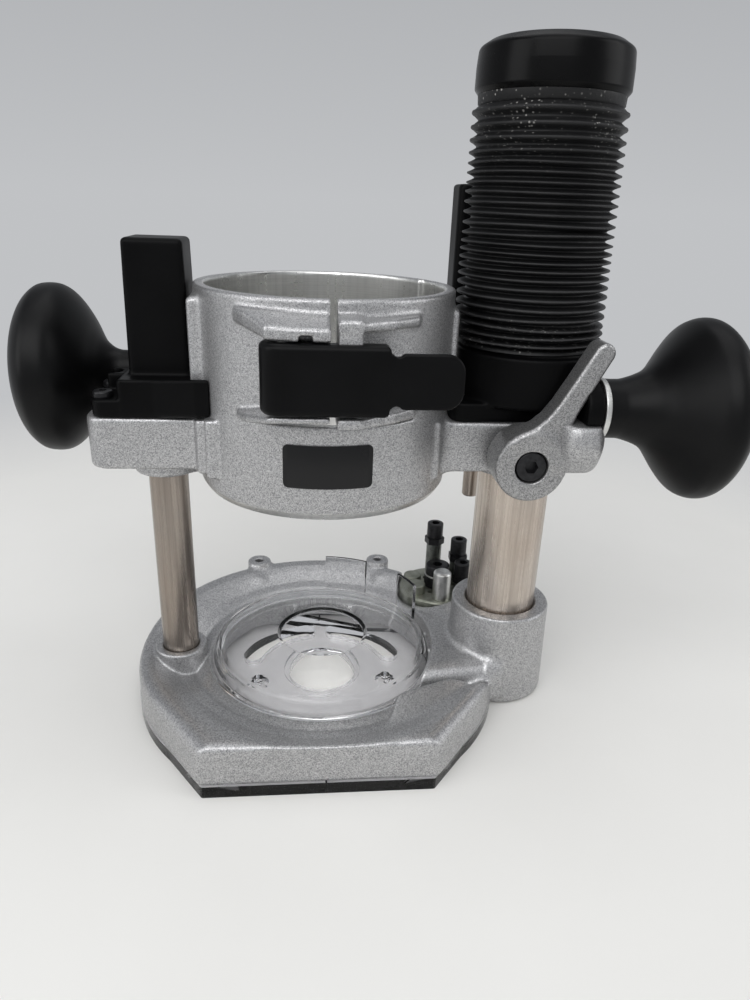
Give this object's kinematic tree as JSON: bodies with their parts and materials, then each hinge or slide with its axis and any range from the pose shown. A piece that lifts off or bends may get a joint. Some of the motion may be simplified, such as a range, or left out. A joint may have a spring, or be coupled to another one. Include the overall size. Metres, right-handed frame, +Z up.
{
  "type": "router plunge base",
  "caption": "Plunge base of a woodworking router: clear sole, two guide columns, split motor clamp, side handles, depth turret, lock lever and dust bellows.",
  "frame": {"origin": "on the cutter axis at the sole plate's underside, the plane that rests on the work", "axes": "+Z up along the cutter axis, +X towards the large dust column and the right handle, -Y towards the flat front and the clamp lever"},
  "size_m": [0.2677, 0.1515, 0.259],
  "materials": {
    "cast_metal": "textured metallic paint",
    "lever_metal": "cast and painted",
    "smoked_clear": "smoky transparent plastic, glossy",
    "clear": "clear plastic, glossy",
    "column_steel": "ground, satin",
    "black_oxide": "black oxide",
    "bright_steel": "plated",
    "spring_steel": "oiled",
    "plated_metal": "olive grey plating",
    "bronze": "sintered bronze",
    "black_plastic": "fine satin texture",
    "black_rubber": "ribbed, dusty",
    "black_label": "plain plate",
    "black_coated_steel": "satin black coat",
    "pointer_red": "moulded"
  },
  "bodies": {
    "base": {"base_casting": "cast_metal", "column_socket": "cast_metal", "sole_plate": "smoked_clear", "sole_screws": "black_oxide", "chip_shroud": "clear", "small_column": "column_steel", "small_column_pin": "black_oxide", "large_column": "column_steel", "large_column_pin": "black_oxide", "return_spring": "spring_steel", "turret_pivot": "bright_steel", "turret_screw": "black_oxide"},
    "turret": {"turret_disc": "plated_metal", "stop_screws": "black_oxide", "stop_nuts": "black_oxide", "stop_sleeve": "bright_steel", "stop_pin": "bright_steel"},
    "housing": {"motor_housing": "cast_metal", "column_boss": "cast_metal", "small_bush": "bronze", "large_bush": "bronze", "label_plate": "black_label", "left_cover": "black_plastic", "cover_screws": "black_oxide", "bellows_base": "black_plastic", "bellows": "black_rubber", "bellows_cap": "black_plastic", "left_handle": "black_plastic", "right_handle": "black_plastic", "handle_washers": "bright_steel", "handle_studs": "bright_steel", "handle_plugs": "black_plastic", "depth_tower": "black_plastic", "depth_plate": "bright_steel", "tower_screws": "bright_steel", "lock_plug": "bronze", "clamp_pin": "bright_steel", "clamp_link": "bright_steel", "clamp_washer": "bright_steel", "clamp_nut": "bright_steel"},
    "lock": {"lock_lever": "lever_metal", "lock_stud": "bright_steel", "lock_screw": "black_oxide", "lock_spring": "spring_steel"},
    "clamp": {"clamp_lever": "black_coated_steel"},
    "stop_rod": {"depth_rod": "column_steel", "depth_pointer": "pointer_red"},
    "knob": {"rod_knob": "black_plastic"}
  },
  "joints": [
    {"name": "plunge_slide", "type": "slide", "parent": "base", "child": "housing", "axis": [0, 0, -1], "range_m": [0, 0.037], "stiffness_N_per_m": 600, "springref_m": -0.04, "deforming": ["return_spring"]},
    {"name": "turret_turn", "type": "hinge", "parent": "base", "child": "turret", "pos_m": [0.0613, 0.052, 0.0165], "axis": [0, 0, 1], "range_deg": [0, 180]},
    {"name": "lock_turn", "type": "hinge", "parent": "housing", "child": "lock", "pos_m": [0.0737, -0.03, 0.1188], "axis": [0, -1, 0], "range_deg": [0, 38], "stiffness_Nm_per_rad": 0.25, "springref_deg": -22.92},
    {"name": "clamp_open", "type": "hinge", "parent": "housing", "child": "clamp", "pos_m": [-0.0147, -0.0543, 0.1545], "axis": [0, 0, -1], "range_deg": [0, 100]},
    {"name": "depth_slide", "type": "slide", "parent": "housing", "child": "stop_rod", "axis": [0, 0, 1], "range_m": [0, 0.04]},
    {"name": "knob_turn", "type": "hinge", "parent": "housing", "child": "knob", "pos_m": [0.0813, 0.0452, 0.138], "axis": [1, 0, 0], "continuous": true}
  ]
}
